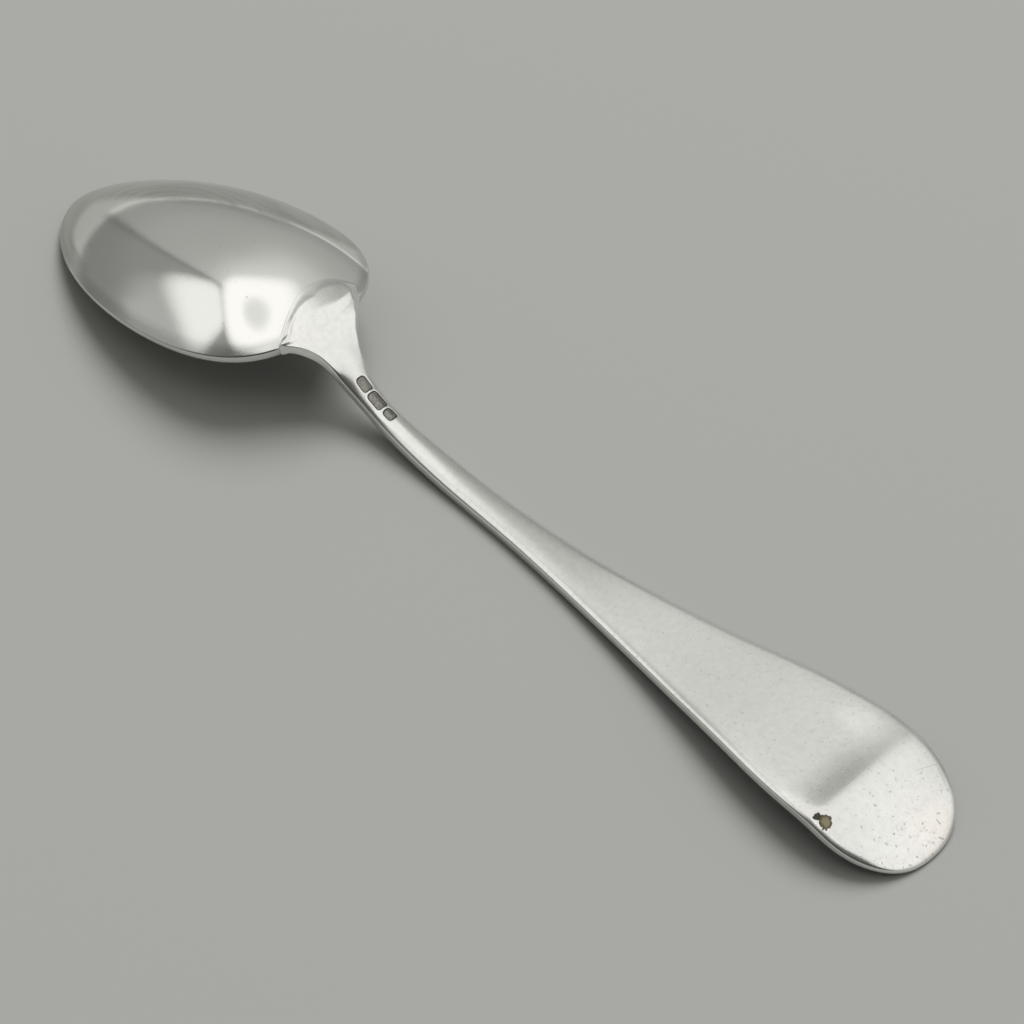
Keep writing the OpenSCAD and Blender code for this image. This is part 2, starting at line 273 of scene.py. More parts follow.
# handle: the drop that laps the bowl's back, the flare, the stem and the broad rounded end, sizes in mm
handle = {
    "dropLength": 4.4,
    "dropWidth": 12.7,  # drop and heel where they meet the rim
    "dropPoint": 0.1,  # how pointed the drop's front is
    "dropLean": 1.0,  # its front sits a little to one side, and askew
    "dropTilt": 0.08,
    "dropFar": 0.15,  # share by which it reaches further on the far side
    "dropFarGrow": 0.4,  # share of the drop's length in which it comes to that
    "dropRise": 0.32,  # how far the drop stands up beyond its border
    "dropLeast": 0.008,  # what stands up on the border itself
    "lapGap": 0.004,  # between the bowl's back and the drop's underside
    "heelRise": 0.25,  # how much thicker the drop is at the rim
    "heelRun": 5.0,  # behind the rim, in which that thickness runs out
    "valley": 1.3,  # width of the soft border where the drop runs out on the bowl
    "lipWidth": 0.15,  # width of the same border where it is crisp
    "crispShare": 0.3,  # share of the drop's length in which the near border turns crisp
    "valleyFade": 3.0,  # behind the rim, in which the far border does
    "settleInset": 0.6,  # in from the border, where the heel's surface is free to settle
    "settleFront": 0.7,  # share of the drop's length that settles
    "settleBehind": (4.0, 8.0),  # behind the rim, where that runs out
    "settleTo": 9.0,
    "settleSpread": 1.3,  # how far the settling reaches, and its step
    "settleStep": 0.002,
    "settleLimit": 0.9,
    "settleLeast": 0.02,  # points closer than this count as this far apart
    "underRise": 0.45,  # the neck's underside just behind the rim
    "underFade": (0.8, 3.5),
    "edgeFade": 1.2,  # behind the rim, in which the neck's upper edges get their rounding
    "insetFade": 2.0,  # behind the rim, in which the outline starts to count as a worn edge
    "heelBlend": 2.0,  # behind the rim, where the drop's crown is full
    "heelFlare": 9.7,
    "levelFade": 1.5,  # in which the heights leave the rim's
    "bowFade": 4.5,  # in which the sections turn from the rim's curve to straight across
    "stemWidth": 3.04,
    "endWidth": 17.6,
    "endRound": 10.0,
    "endPower": 2.25,
    "neckSide": 1.22,  # height of the sides past the rim, along the stem and the blade, and at the end
    "stemSide": 1.32,
    "bladeSide": 1.1,
    "endSide": 0.65,
    "neckPlaces": (1.5, 2.0, 6.0),  # behind the rim: sides thin, still thin, as high as the stem's
    "heelCrown": 0.4,
    "stemCrown": 0.68,
    "bladeCrown": 0.6,
    "crownPowers": (2, 1.6, 10),  # across the heel, the stem and the blade
    "frontCrown": 0.3,  # share of the heel's crown left at the drop's front
    "shoulderRounds": (0.2, 0.32, 0.15, 0.15),  # rounding of the upper edges: neck, stem, blade, end
    "underRadius": 0.25,
    "archHeight": 3.22,
    "lowShare": 0.33,  # share of the handle's length where it is lowest
    "bladeShare": 0.4,  # share of the way from there to the rounded end where the blade is full
    "ridge": (10.0, 1.5, 0.31),  # low ridge across the bend: place before the end, reach, height
    "ridgePower": 6,  # how squarely the ridge stops at the edges
    # behind the rim: middle, half length, half width
    "dimples": [(6.65, 0.87, 0.72), (8.85, 1.1, 0.78), (11.0, 0.77, 0.66)],
    "dimpleDepth": 0.1,
    "dimpleRound": 0.42,
    "dimpleSlope": 0.3,
    "chip": (9.5, -7.7, 0.55, 0.1),  # before the end, across, reach, depth
    "flareShares": [
        (0, 1), (0.05, 0.88), (0.1, 0.77), (0.15, 0.655), (0.19, 0.557), (0.235, 0.447), (0.28, 0.355),
        (0.37, 0.227), (0.46, 0.139), (0.55, 0.09), (0.64, 0.053), (0.82, 0.012), (1, 0),
    ],
    "spreadShares": [
        (0, 0), (0.08, 0.031), (0.15, 0.053), (0.216, 0.067), (0.284, 0.088), (0.35, 0.129), (0.42, 0.192),
        (0.486, 0.271), (0.62, 0.468), (0.757, 0.712), (0.824, 0.835), (0.892, 0.94), (0.946, 0.989), (1, 1),
    ],
    "dipShares": [
        (0, 1), (0.023, 0.945), (0.055, 0.857), (0.087, 0.758), (0.12, 0.642), (0.152, 0.54), (0.185, 0.452),
        (0.25, 0.326), (0.314, 0.232), (0.38, 0.168), (0.445, 0.125), (0.575, 0.063), (0.7, 0.023), (1, 0),
    ],
    "archShares": [
        (0, 0), (0.16, 0.064), (0.32, 0.244), (0.475, 0.5), (0.635, 0.856), (0.72, 0.955),
        (0.8, 0.996), (0.845, 0.905), (0.905, 0.62), (0.96, 0.33), (1, 0),
    ],
    "sampleStep": 0.1,
    "sampleLead": 2.0,  # before the rim, where the sampled curves start
    "widthSoft": 3,  # samples over which the curves are evened out
    "underSoft": 4,
    "stations": (28, 110, 180, 44),  # sections of the drop, the flare, the blade and the end
    "stemRun": 3.0,  # behind the flare, with sections a step apart
    "spineShare": 0.6,  # how far the middle of a section follows the curve of a rounded end
    "edgeColumns": (0, 0.02, 0.05, 0.09, 0.14, 0.2, 0.28, 0.38, 0.5),  # in from the edge
    "edgeColumnShare": 0.4,  # share of the half width that these may take
    "innerColumns": 16,
    "wallRows": 4,
}
handleLength = spoonLength - bowlLength
flareEnd = bowlLength + handle["heelFlare"]
lowAt = bowlLength + handleLength * handle["lowShare"]
roundAt = spoonLength - handle["endRound"]
bladeAt = mixed(lowAt, roundAt, handle["bladeShare"])
shoulderAt = float(rearRim(handle["dropWidth"] / 2))
sampleStep = handle["sampleStep"]
samples = np.arange(bowlLength - handle["sampleLead"], spoonLength + sampleStep, sampleStep)


def sampledWidth():
    stem, end, drop = handle["stemWidth"] / 2, handle["endWidth"] / 2, handle["dropWidth"] / 2
    u = np.minimum((samples - shoulderAt) / (flareEnd - shoulderAt), 1)
    w = np.clip((samples - flareEnd) / (roundAt - flareEnd), 0, 1)
    flare = mixed(stem, drop, splineThrough(handle["flareShares"], u))
    spread = mixed(stem, end, splineThrough(handle["spreadShares"], w))
    return softened(np.where(samples < flareEnd, flare, spread), handle["widthSoft"])


def sampledUnder():
    u = np.minimum((samples - bowlLength) / (lowAt - bowlLength), 1)
    w = np.clip((samples - lowAt) / (spoonLength - lowAt), 0, 1)
    dip = bowl["heelHeight"] * splineThrough(handle["dipShares"], u)
    arch = (handle["archHeight"] + bowl["restFlat"]) * splineThrough(handle["archShares"], w)
    arch = arch - bowl["restFlat"] * ease(w)
    return softened(np.where(samples < lowAt, dip, arch), handle["underSoft"])


widthCurve = sampledWidth()
underCurve = sampledUnder()


def halfWidth(s):
    return np.interp(s, samples, widthCurve)


def underLine(s):
    return np.interp(s, samples, underCurve)


def sideHeight(s):
    thin, still, full = handle["neckPlaces"]
    behind = s - bowlLength
    side = mixed(bowl["edgeHeel"], handle["neckSide"], ease(behind / thin))
    side = mixed(side, handle["stemSide"], ease((behind - still) / (full - still)))
    side = mixed(side, handle["bladeSide"], ease((s - lowAt) / (bladeAt - lowAt)))
    return mixed(side, handle["endSide"], ease((s - roundAt) / handle["endRound"]))


def crownHeight(s):
    front = bowlLength - handle["dropLength"]
    grown = ease((s - front) / (handle["dropLength"] + handle["heelBlend"]))
    crown = handle["heelCrown"] * mixed(handle["frontCrown"], 1, grown)
    crown = mixed(crown, handle["stemCrown"], ease((s - bowlLength) / handle["heelFlare"]))
    return mixed(crown, handle["bladeCrown"], ease((s - flareEnd) / (bladeAt - flareEnd)))


def crownPower(s):
    # the blade grows flatter on top as it grows wider
    heel, stem, blade = handle["crownPowers"]
    power = mixed(heel, stem, ease((s - bowlLength) / handle["heelFlare"]))
    wider = np.where(s > flareEnd, halfWidth(s) * 2 - handle["stemWidth"], 0)
    return mixed(power, blade, wider / (handle["endWidth"] - handle["stemWidth"]))


def shoulderRound(s):
    neck, stem, blade, end = handle["shoulderRounds"]
    radius = mixed(neck, stem, ease((s - bowlLength) / handle["heelFlare"]))
    radius = mixed(radius, blade, ease((s - flareEnd) / (bladeAt - flareEnd)))
    return mixed(radius, end, ease((s - roundAt) / handle["endRound"]))


def quarterRound(inset, radius):
    # how far a rounded edge falls below the surface, by the distance in from it
    away = 1 - np.minimum(inset / radius, 1)
    return radius * (1 - np.sqrt(np.maximum(1 - away ** 2, 0)))


def dimpleShare(s, y):
    share = np.zeros_like(s)
    corner = handle["dimpleRound"]
    for middle, halfLong, halfWide in handle["dimples"]:
        along = np.maximum(np.abs(s - bowlLength - middle) - halfLong + corner, 0)
        aside = np.maximum(np.abs(y) - halfWide + corner, 0)
        away = np.hypot(along, aside) - corner
        share = np.maximum(share, ease(0.5 - away / handle["dimpleSlope"]))
    return share


def edgeInset(s, y):
    # how far in from the handle's outline, large on the drop
    half = halfWidth(s)
    beyond = np.clip((s - roundAt) / handle["endRound"], 0, 1)
    power = handle["endPower"]
    gauge = ((np.abs(y) / half) ** power + beyond ** power) ** (1 / power)
    onDrop = ease((bowlLength + handle["insetFade"] - s) / handle["insetFade"])
    return np.maximum((1 - gauge) * half, 0) + handle["dropLength"] * onDrop


def settled(heights, s, y, share):
    # lets heights settle towards their neighbours', as far as the share at each point allows
    sides = [(np.s_[:-1], np.s_[1:]), (np.s_[:, :-1], np.s_[:, 1:])]
    weight = []
    total = np.zeros_like(heights)
    for axis, (low, high) in enumerate(sides):
        apart = np.hypot(np.diff(s, axis=axis), np.diff(y, axis=axis))
        weight.append(1 / np.maximum(apart, handle["settleLeast"]) ** 2)
        total[low] += weight[axis]
        total[high] += weight[axis]
    step = handle["settleStep"]
    gain = np.minimum(step * total, handle["settleLimit"]) * share / total
    for _ in range(int(handle["settleSpread"] ** 2 / (2 * step))):
        change = np.zeros_like(heights)
        for axis, (low, high) in enumerate(sides):
            flow = weight[axis] * np.diff(heights, axis=axis)
            change[low] += flow
            change[high] -= flow
        heights = heights + gain * change
    return heights


def handleStations():
    # each station: its place in the middle and at the edge, its half width, and if it laps the bowl
    dropCount, flareCount, bladeCount, endCount = handle["stations"]
    step, spineShare = sampleStep, handle["spineShare"]
    stemRunEnd = flareEnd + handle["stemRun"]
    stations = []
    for turn in np.linspace(0, quarterTurn, dropCount):
        reach = handle["dropLength"] * math.cos(turn)
        half = handle["dropWidth"] / 2 * math.sin(turn) * (1 - handle["dropPoint"] * math.cos(turn))
        stations.append((bowlLength - spineShare * reach, bowlLength - reach, half, True))
    places = list(shoulderAt + step + (flareEnd - shoulderAt) * np.linspace(0, 1, flareCount))
    places += list(np.arange(flareEnd + step, stemRunEnd, step))
    places += list(np.linspace(stemRunEnd, roundAt, bladeCount))
    for s in places:
        spine = s + (bowlLength - shoulderAt) * (1 - ease((s - shoulderAt) / handle["bowFade"]))
        stations.append((spine, s, float(halfWidth(s)), False))
    power = 2 / handle["endPower"]
    for turn in np.linspace(0, quarterTurn, endCount)[1:]:
        reach = handle["endRound"] * math.sin(turn) ** power
        half = handle["endWidth"] / 2 * max(math.cos(turn), 0) ** power if turn < quarterTurn else 0.0
        stations.append((roundAt + spineShare * reach, roundAt + reach, half, False))
    return stations


def handleGrid():
    # one row of points for each station, q from -1 on the near edge to 1 on the far one
    spine, edge, half, laps = (np.array(column)[:, None] for column in zip(*handleStations()))
    insets = np.array(handle["edgeColumns"])
    reach = np.hypot(half, edge - spine)
    scale = np.minimum(1, handle["edgeColumnShare"] * reach / insets[-1])
    outer = 1 - insets * (scale / reach)
    inner = outer[:, -1:] * np.linspace(1, 0, handle["innerColumns"] + 1)[1:]
    oneSide = np.concatenate([outer, inner], axis=1)
    q = np.concatenate([-oneSide, oneSide[:, -2::-1]], axis=1)

    inHeel = ~laps & (spine < flareEnd)
    rimCurve = (bowlLength - rearRim(q * handle["dropWidth"] / 2)) / (bowlLength - shoulderAt)
    s = spine + (edge - spine) * np.where(inHeel, rimCurve, q ** 2)
    station = s + (spine - s) * (1 - ease((spine - bowlLength) / handle["levelFade"])) * inHeel

    # the drop leans, is askew and follows the rim where it meets it
    forward = np.where(laps, (bowlLength - edge) / handle["dropLength"], 0)
    byRim = np.where(laps, ease((edge - bowlLength + handle["dropLength"]) / handle["dropLength"]), 0)
    y = q * half * np.where(q > 0, 1 + handle["dropFar"] * ease(forward / handle["dropFarGrow"]), 1)
    y = y + handle["dropLean"] * forward
    s = s - handle["dropTilt"] * forward * y
    s = s + byRim * (rearRim(y) - bowlLength)
    return SimpleNamespace(
        q=q, s=s, y=y, spine=spine, laps=laps, station=station, forward=forward,
        inset=(1 - np.abs(q)) * reach, behind=np.maximum(spine - bowlLength, 0),
    )


def handleTop(grid):
    q, s, y, station, inset = grid.q, grid.s, grid.y, grid.station, grid.inset
    forward, behind = grid.forward, grid.behind
    free = ease((station - bowlLength) / handle["edgeFade"])
    rimFall = rimLine(rearRim(y)) + rimEdge(rearRim(y)) - rimLine(bowlLength) - rimEdge(bowlLength)
    freeBase = underLine(station) + sideHeight(station) + rimFall * (1 - free)
    base = np.where(grid.laps, bowlBack(s, y), freeBase)

    # the heel's surface settles between the bowl's back and the stem
    since, until = handle["settleBehind"]
    share = ease(inset / handle["settleInset"]) * (1 - ease((behind - since) / (until - since)))
    share = share * ease(1 - forward / handle["settleFront"])
    heel = int(np.searchsorted(grid.spine[:, 0], bowlLength + handle["settleTo"]))
    base[:heel] = settled(base[:heel], s[:heel], y[:heel], share[:heel])

    # the drop stands up from it behind its border, and the free edges are rounded
    nearBorder = mixed(handle["lipWidth"], handle["valley"], ease(forward / handle["crispShare"]))
    farBorder = mixed(handle["valley"], handle["lipWidth"], ease(behind / handle["valleyFade"]))
    border = np.where(q > 0, farBorder, nearBorder)
    thick = handle["dropRise"] + handle["heelRise"] * (1 - forward)
    thick = thick * (1 - ease(behind / handle["heelRun"]))
    lift = thick * ease(inset / border) - quarterRound(inset, shoulderRound(station)) * free
    crown = crownHeight(station) * (1 - np.abs(q) ** crownPower(station))

    # small relief
    ridgeBefore, ridgeReach, ridgeHeight = handle["ridge"]
    ridge = np.exp(-((s - spoonLength + ridgeBefore) / ridgeReach) ** 2) * (1 - q ** handle["ridgePower"])
    chipBefore, chipAcross, chipReach, chipDepth = handle["chip"]
    dent = np.exp(-(np.hypot(s - spoonLength + chipBefore, y - chipAcross) / chipReach) ** 2)
    relief = ridgeHeight * ridge - chipDepth * dent - handle["dimpleDepth"] * dimpleShare(s, y)
    return base + handle["dropLeast"] + lift + crown + relief


def handleUnder(grid):
    grow, fade = handle["underFade"]
    neckRise = handle["underRise"] * ease(grid.behind / grow) * (1 - ease((grid.behind - grow) / fade))
    curl = quarterRound(grid.inset, handle["underRadius"])
    free = np.maximum(underLine(grid.station), 0) + neckRise + curl
    return np.where(grid.laps, bowlBack(grid.s, grid.y) + handle["lapGap"], free)


def makeHandle():
    grid = handleGrid()
    x, y = grid.s + tipX, grid.y
    top, under = handleTop(grid), handleUnder(grid)
    count, columns = top.shape
    topIndex = np.arange(count * columns).reshape(count, columns)
    lowIndex = topIndex + count * columns
    points = [np.stack([x, y, z], axis=-1).reshape(-1, 3) for z in (top, under)]
    faces = gridFaces(topIndex) + gridFaces(lowIndex[:, ::-1])
    wallRows = handle["wallRows"]
    start = 2 * count * columns
    for column in (0, columns - 1):
        rows = [topIndex[:, column]]
        for row in range(1, wallRows):
            level = mixed(top[:, column], under[:, column], row / wallRows)
            points.append(np.stack([x[:, column], y[:, column], level], axis=-1))
            rows.append(np.arange(start, start + count))
            start += count
        rows.append(lowIndex[:, column])
        faces += gridFaces(np.stack(rows))
    return meshPiece("handle_bar", np.concatenate(points), faces)


# node helpers for the finishes
def startMaterial(name):
    material = bpy.data.materials.new(name)
    material.use_nodes = True
    tree = material.node_tree
    shader = tree.nodes["Principled BSDF"]
    return material, tree, shader


def feed(tree, node, inputs):
    for key, value in inputs.items():
        if isinstance(value, bpy.types.NodeSocket):
            tree.links.new(value, node.inputs[key])
        else:
            node.inputs[key].default_value = value


def addNode(tree, kind, inputs=None, **settings):
    node = tree.nodes.new(kind)
    for key, value in settings.items():
        setattr(node, key, value)
    feed(tree, node, inputs or {})
    return node


def figure(tree, operation, a, b=0.0):
    return addNode(tree, "ShaderNodeMath", {0: a, 1: b}, operation=operation).outputs[0]


def product(tree, a, b):
    return figure(tree, "MULTIPLY", a, b)


def largest(tree, first, *others):
    for other in others:
        first = figure(tree, "MAXIMUM", first, other)
    return first


def vectorFigure(tree, operation, a, b):
    node = addNode(tree, "ShaderNodeVectorMath", {0: a, 1: b}, operation=operation)
    return node.outputs["Value" if operation in ("DOT_PRODUCT", "DISTANCE") else "Vector"]


def scaled(tree, vector, share):
    return addNode(tree, "ShaderNodeVectorMath", {0: vector, "Scale": share}, operation="SCALE").outputs[0]


def part(tree, vector, axis):
    return addNode(tree, "ShaderNodeSeparateXYZ", {"Vector": vector}).outputs[axis]


def inMetres(places):
    return tuple(place * mm for place in places)


def cloud(tree, place, scale, detail=2.0, roughness=0.5):
    inputs = {"Vector": place, "Scale": scale, "Detail": detail, "Roughness": roughness}
    return addNode(tree, "ShaderNodeTexNoise", inputs).outputs["Fac"]


def strands(tree, place, stretch, turn=0.0, detail=2.0, roughness=0.5):
    # a cloud drawn out along one direction
    turned = addNode(tree, "ShaderNodeMapping", {"Vector": place, "Rotation": (0, 0, math.radians(turn))})
    drawn = addNode(tree, "ShaderNodeMapping", {"Vector": turned.outputs[0], "Scale": stretch})
    return cloud(tree, drawn.outputs[0], 1.0, detail, roughness)


def between(tree, value, low, high, start=0.0, end=1.0):
    inputs = {"Value": value, "From Min": low, "From Max": high, "To Min": start, "To Max": end}
    return addNode(tree, "ShaderNodeMapRange", inputs, interpolation_type="SMOOTHSTEP").outputs["Result"]


def faded(tree, value, low, high):
    return between(tree, value, low, high, 1.0, 0.0)


def blended(tree, share, first, second):
    return addNode(tree, "ShaderNodeMix", {0: share, 2: first, 3: second}).outputs[0]


def tinted(tree, share, first, second):
    return addNode(tree, "ShaderNodeMix", {0: share, 6: first, 7: second}, data_type="RGBA").outputs[2]


def nearness(tree, place, spot, reach):
    # 1 at a spot on the spoon, given in mm, and 0 beyond its reach
    far = vectorFigure(tree, "DISTANCE", place, inMetres(spot))
    return faded(tree, far, 0.0, reach * mm)


def scratchLine(tree, place, start, end, width, core):
    # 1 on a straight scratch between two spots on the spoon seen from above, given in mm
    a, b = Vector((*start, 0)) * mm, Vector((*end, 0)) * mm
    flat = vectorFigure(tree, "MULTIPLY", place, (1, 1, 0))
    away = vectorFigure(tree, "SUBTRACT", flat, a)
    share = vectorFigure(tree, "DOT_PRODUCT", away, (b - a) / (b - a).length_squared)
    share = addNode(tree, "ShaderNodeClamp", {"Value": share}).outputs[0]
    far = vectorFigure(tree, "DISTANCE", away, scaled(tree, b - a, share))
    return faded(tree, far, width * mm * core, width * mm)


def grained(tree, shader, heights, depths):
    # lays fine reliefs over one another, their depths in micrometres
    normal = None
    for height, depth in zip(heights, depths):
        inputs = {"Height": height, "Distance": depth * micrometre, "Strength": 1.0}
        if normal is not None:
            inputs["Normal"] = normal
        normal = addNode(tree, "ShaderNodeBump", inputs).outputs["Normal"]
    tree.links.new(normal, shader.inputs["Normal"])


# colours of the silver and of what shows on it, painted shade among them
silver = {
    "polished": (0.93, 0.925, 0.90, 1),
    "satin": (0.88, 0.875, 0.852, 1),
    # the dull grey is the mottle's own tone and also the painted shade across the handle's bend
    "dullAndShade": (0.62, 0.615, 0.595, 1),
    # the worn grey is the bowl's wear and also the painted shade on the far slope of its back
    "wearAndShade": (0.50, 0.497, 0.483, 1),
    "warm": (0.80, 0.76, 0.71, 1),
    "pink": (0.90, 0.78, 0.75, 1),
    "oxide": (0.035, 0.034, 0.032, 1),
    "oxideFloor": (0.42, 0.41, 0.37, 1),
    "speck": (0.22, 0.21, 0.19, 1),
    "chip": (0.17, 0.15, 0.085, 1),
    "chipDark": (0.03, 0.022, 0.01, 1),
}

# the bowl's finish: clouds are scale per metre, detail and roughness, and From pairs are their limits
bowlSilver = {
    "roughness": (0.07, 0.12),
    "rimRoughness": 0.07,  # added in the streaks
    "rimReach": (0.5, 1.6),  # mm in from the rim, where its fine streaks run out
    "rimShare": 0.6,  # how worn the rim is
    "shadedWay": (-0.75, 0.66, 0.0),  # the slope of the back that faces this way, the far side, is painted darker and streaked: painted shade, not wear
    "shadedFrom": (0.26, 0.38),
    "tipWorn": (-61.0, -52.0),  # mm along the spoon, where the worn band round the tip runs out
    "tipAcross": (-9.0, 2.0),  # mm across, between which that band grows wider
    "tipWidths": (2.0, 6.0),
    "tipSoft": (0.7, 1.1),  # shares of its width between which it fades
    "dullingAndShade": (0.25, 0.75),  # by the streaks, and by the worn places and the painted shade of the far slope as a whole
    "streaks": {"stretch": (0.045, 0.8, 1.0), "detail": 3.0, "roughness": 0.6},
    "streakFrom": (0.4, 0.62),
    "wiping": {"stretch": (70.0, 2600.0, 1400.0), "turn": 20},
    "grain": (4200.0, 2.0, 0.65),
    "smudge": (130.0, 5.0, 0.6),
    "smudgeFrom": (0.3, 0.7),
    "specks": (2100.0, 1.0, 0.5),
    "speckFrom": (0.75, 0.8),
    "speckShare": 0.35,
    "warmSpot": ((-64, -2, 3), 16),  # mm: middle, reach
    "warmShare": 0.2,
    "reliefs": (2.6, 1.2, 0.8, 4.0),  # micrometres: grain, wiping, streaks, smudges
}


def bowlFinish():
    finish = bowlSilver
    material, tree, shader = startMaterial("polished_silver")
    place = addNode(tree, "ShaderNodeTexCoord").outputs["Object"]
    facing = addNode(tree, "ShaderNodeNewGeometry").outputs["Normal"]
    rim = addNode(tree, "ShaderNodeAttribute", attribute_name="rimPlace").outputs["Vector"]
    depth = part(tree, rim, "Y")
    grain, smudge, specks = (cloud(tree, place, *finish[name]) for name in ("grain", "smudge", "specks"))
    specks = between(tree, specks, *finish["speckFrom"])
    wiped = strands(tree, place, **finish["wiping"])

    # a band round the tip and the rim itself are worn; one slope of the back, picked by the way it faces, is
    # painted darker as painted shade
    slope = vectorFigure(tree, "DOT_PRODUCT", facing, finish["shadedWay"])
    onBack = figure(tree, "GREATER_THAN", part(tree, facing, "Z"), 0.0)
    slope = product(tree, between(tree, slope, *finish["shadedFrom"]), onBack)
    tipWidth = between(tree, part(tree, place, "Y"), *inMetres(finish["tipAcross"]), *finish["tipWidths"])
    tipBand = faded(tree, figure(tree, "DIVIDE", depth, tipWidth), *finish["tipSoft"])
    tipEnd = faded(tree, part(tree, place, "X"), *inMetres(finish["tipWorn"]))
    rimBand = product(tree, faded(tree, depth, *finish["rimReach"]), finish["rimShare"])
    wearAndShade = largest(tree, slope, product(tree, tipBand, tipEnd), rimBand)
    streaks = between(tree, strands(tree, rim, **finish["streaks"]), *finish["streakFrom"])
    streaks = product(tree, streaks, wearAndShade)

    rough = between(tree, smudge, *finish["smudgeFrom"], *finish["roughness"])
    rough = figure(tree, "ADD", rough, product(tree, streaks, finish["rimRoughness"]))
    byStreaks, byWearAndShade = finish["dullingAndShade"]
    dulledAndShaded = figure(tree, "ADD", product(tree, streaks, byStreaks), product(tree, wearAndShade, byWearAndShade))
    # painted shade: the far slope's darkening is mixed in here with the real wear
    colour = tinted(tree, dulledAndShaded, silver["polished"], silver["wearAndShade"])
    warm = product(tree, nearness(tree, place, *finish["warmSpot"]), finish["warmShare"])
    colour = tinted(tree, warm, colour, silver["warm"])
    colour = tinted(tree, product(tree, specks, finish["speckShare"]), colour, silver["speck"])
    feed(tree, shader, {"Metallic": 1.0, "Base Color": colour, "Roughness": rough})
    grained(tree, shader, (grain, wiped, streaks, smudge), finish["reliefs"])
    return material


# the handle's finish, written in the same way
handleSilver = {
    "stemRoughness": (0.26, 0.34),
    "bladeRoughness": (0.42, 0.50),
    "endPolish": 0.14,  # taken off the blade's roughness at the end
    "dropRoughness": 0.18,
    "dropTo": (-26.0, -20.0),  # mm along the spoon, where the drop's polish turns into the stem's finish
    "bladeFrom": (10.0, 30.0),  # mm along the spoon, where the stem's finish turns into the blade's
    "edgePolish": (0.25, 1.3),  # mm from the edges, bright from use
    "edgeSteep": (0.3, 0.7),  # the sides, which face up less than this, are bright too
    "edgeRoughness": 0.16,
    "bendBefore": 11.4,  # mm before the end, a smoother band across the bend, also painted darker as painted shade
    "bendRise": (-4.2, -0.3),  # mm from there, where it sets in slowly and where it ends
    "bendFall": (0.5, 1.7),
    "bendAcross": (-2.0, 7.0),  # mm across, where it weakens towards the far edge
    "bendFar": 0.3,
    "bendPolish": 0.24,  # taken off the roughness there
    # painted shade: share by which the bend band is darkened towards the dull grey
    "bendShade": 0.4,
    "endSpot": ((65, 0, 2), 9),  # mm: middle and reach of the worn end
    "bendSpot": ((53.5, 2.5, 5), 8),  # of the worn place before the bend
    "rubbedSpot": ((53.8, 5.2, 5), 4.2),  # of a pale patch there
    "pinkSpot": ((67, 2, 1), 6),  # of a warm patch on the end
    "pinkShare": 0.35,
    "bladeHaze": 0.15,  # share of fine scratches that scatter the light
    "rubbedHaze": 0.2,  # added to that share on the pale patch
    "rubbedFrom": (0.3, 0.6),
    "grain": (3600.0, 2.0, 0.65),
    "smudge": (150.0, 5.0, 0.6),
    "smudgeFrom": (0.3, 0.7),
    "brushing": {"stretch": (90.0, 3800.0, 1200.0)},
    "mottle": (1300.0, 4.0, 0.75),
    "mottleFrom": (0.3, 0.75),
    "mottleDull": 0.3,
    "pits": (2400.0, 1.5, 0.5),
    "pitFrom": (0.66, 0.71),
    "pitShares": (0.5, 0.2),  # on the end and on the blade
    # short scratches: turn in degrees, and how rare those are
    "hairs": [(24, 0.69), (71, 0.70), (-38, 0.695), (-80, 0.71)],
    "hairStretch": (420.0, 6500.0, 0.0),
    "hairDetail": 1.0,
    "hairSoft": 0.03,
    "scratchWidth": 0.06,  # mm
    "scratchCore": 0.4,  # share of that width with the full strength
    "scratchUp": 0.5,  # faces that look up less than this have no long scratches
    "scratchPale": 0.3,  # share of light that the pale scratches scatter
    "scratchDark": 0.24,  # share by which the dark ones are darkened
    # the ends of the long scratches, mm on the spoon
    "paleScratches": [
        ((55.6, 2.3), (57.3, 2.05)), ((53.4, 3.8), (54.9, 4.4)), ((56.2, 7.2), (58.0, 7.6)),
        ((53.7, 2.2), (55.4, 2.1)), ((49.9, 3.1), (51.1, 2.5)), ((52.7, -1.7), (53.4, -1.8)),
        ((55.4, -4.8), (56.3, -4.6)), ((54.2, 3.1), (55.0, 3.2)), ((51.9, 4.1), (52.8, 4.3)),
    ],
    "darkScratches": [((61.8, 4.9), (62.6, 7.5)), ((62.6, 7.5), (65.3, 6.4))],
    "dimpleDark": (0.25, 0.6),  # shares of the dimples' depth between which they darken
    "dimpleFloor": (0.85, 1.0),  # and between which the worn floor begins
    "floorWear": (7000.0, 2.0, 0.5),
    "floorWearFrom": (0.3, 0.7),
    "floorWearShares": (0.35, 0.9),
    "chipHeight": 4.3,  # mm above the floor
    "chipOlive": ((0.25, 0.15), 1.5),  # its two spots: mm from its middle, reach
    "chipUmber": ((-0.7, -0.1), 1.1),
    "oliveFrom": (0.45, 0.52),
    "umberFrom": (0.5, 0.58),
    "insideFrom": (0.5, 0.85),
    "ragged": (900.0, 3.0, 0.7),
    "raggedShare": 1.3,
    "reliefs": (3.6, 2.0, 5.0, 8.0, 9.0),  # micrometres: grain, brushing, mottle, smudges, marks
}


def bendBand(tree, along, across):
    finish = handleSilver
    fromBend = figure(tree, "SUBTRACT", along, (spoonLength + tipX - finish["bendBefore"]) * mm)
    setIn = between(tree, fromBend, *inMetres(finish["bendRise"]))
    runOut = faded(tree, fromBend, *inMetres(finish["bendFall"]))
    weaker = between(tree, across, *inMetres(finish["bendAcross"]), 1.0, finish["bendFar"])
    return product(tree, product(tree, setIn, runOut), weaker)


def hairScratches(tree, place):
    # thin drawn-out clouds at several angles
    finish = handleSilver
    marks = []
    for turn, low in finish["hairs"]:
        thin = strands(tree, place, finish["hairStretch"], turn, finish["hairDetail"])
        marks.append(between(tree, thin, low, low + finish["hairSoft"]))
    return largest(tree, *marks)


